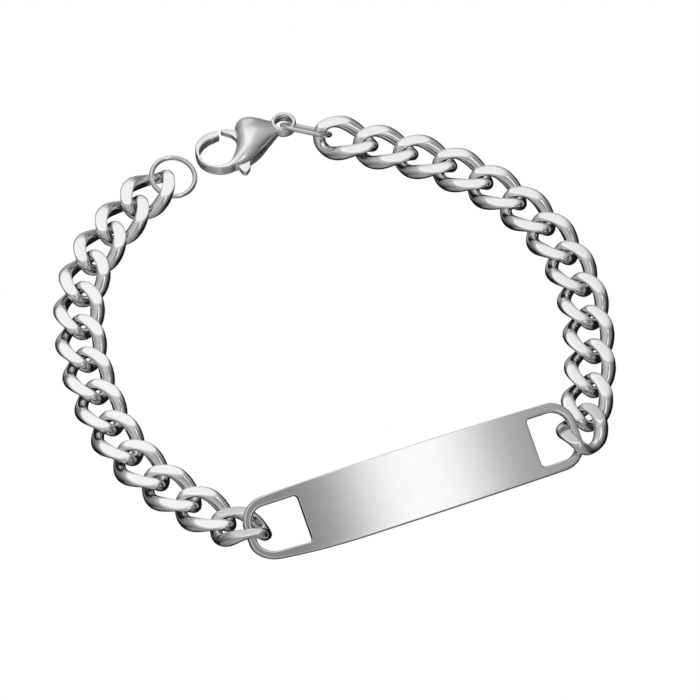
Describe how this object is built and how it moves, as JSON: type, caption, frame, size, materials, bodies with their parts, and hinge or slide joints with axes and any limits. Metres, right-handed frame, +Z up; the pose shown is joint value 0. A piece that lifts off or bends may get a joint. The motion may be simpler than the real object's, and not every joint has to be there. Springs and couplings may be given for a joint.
{
  "type": "id bracelet",
  "caption": "Open identity bracelet: a bare curved name plate on two stretches of flattened curb chain, with a plain end ring and a lobster clasp.",
  "frame": {"origin": "centre of the bracelet's box, on the surface that it lies on", "axes": "+Z up, +Y away from the picture's camera, +X to its right"},
  "size_m": [0.0702, 0.0702, 0.0058],
  "materials": {
    "plate_steel": "satin",
    "chain_steel": "polished",
    "ring_steel": "polished",
    "clasp_steel": "polished"
  },
  "bodies": {
    "bracelet": {"id_plate": "plate_steel", "left_link_01": "chain_steel", "left_link_02": "chain_steel", "left_link_03": "chain_steel", "left_link_04": "chain_steel", "left_link_05": "chain_steel", "left_link_06": "chain_steel", "left_link_07": "chain_steel", "left_link_08": "chain_steel", "left_link_09": "chain_steel", "left_link_10": "chain_steel", "left_link_11": "chain_steel", "left_link_12": "chain_steel", "left_link_13": "chain_steel", "right_link_01": "chain_steel", "right_link_02": "chain_steel", "right_link_03": "chain_steel", "right_link_04": "chain_steel", "right_link_05": "chain_steel", "right_link_06": "chain_steel", "right_link_07": "chain_steel", "right_link_08": "chain_steel", "right_link_09": "chain_steel", "right_link_10": "chain_steel", "right_link_11": "chain_steel", "right_link_12": "chain_steel", "right_link_13": "chain_steel", "end_ring": "ring_steel", "clasp_ring": "ring_steel", "clasp_body": "clasp_steel", "clasp_pin": "clasp_steel"},
    "lever": {"clasp_lever": "clasp_steel"}
  },
  "joints": [
    {"name": "clasp_lever", "type": "hinge", "parent": "bracelet", "child": "lever", "pos_m": [-0.01053, 0.03144, 0.0016], "axis": [0, 0, 1], "range_deg": [0, 25], "stiffness_Nm_per_rad": 0.002, "springref_deg": -5.73}
  ]
}
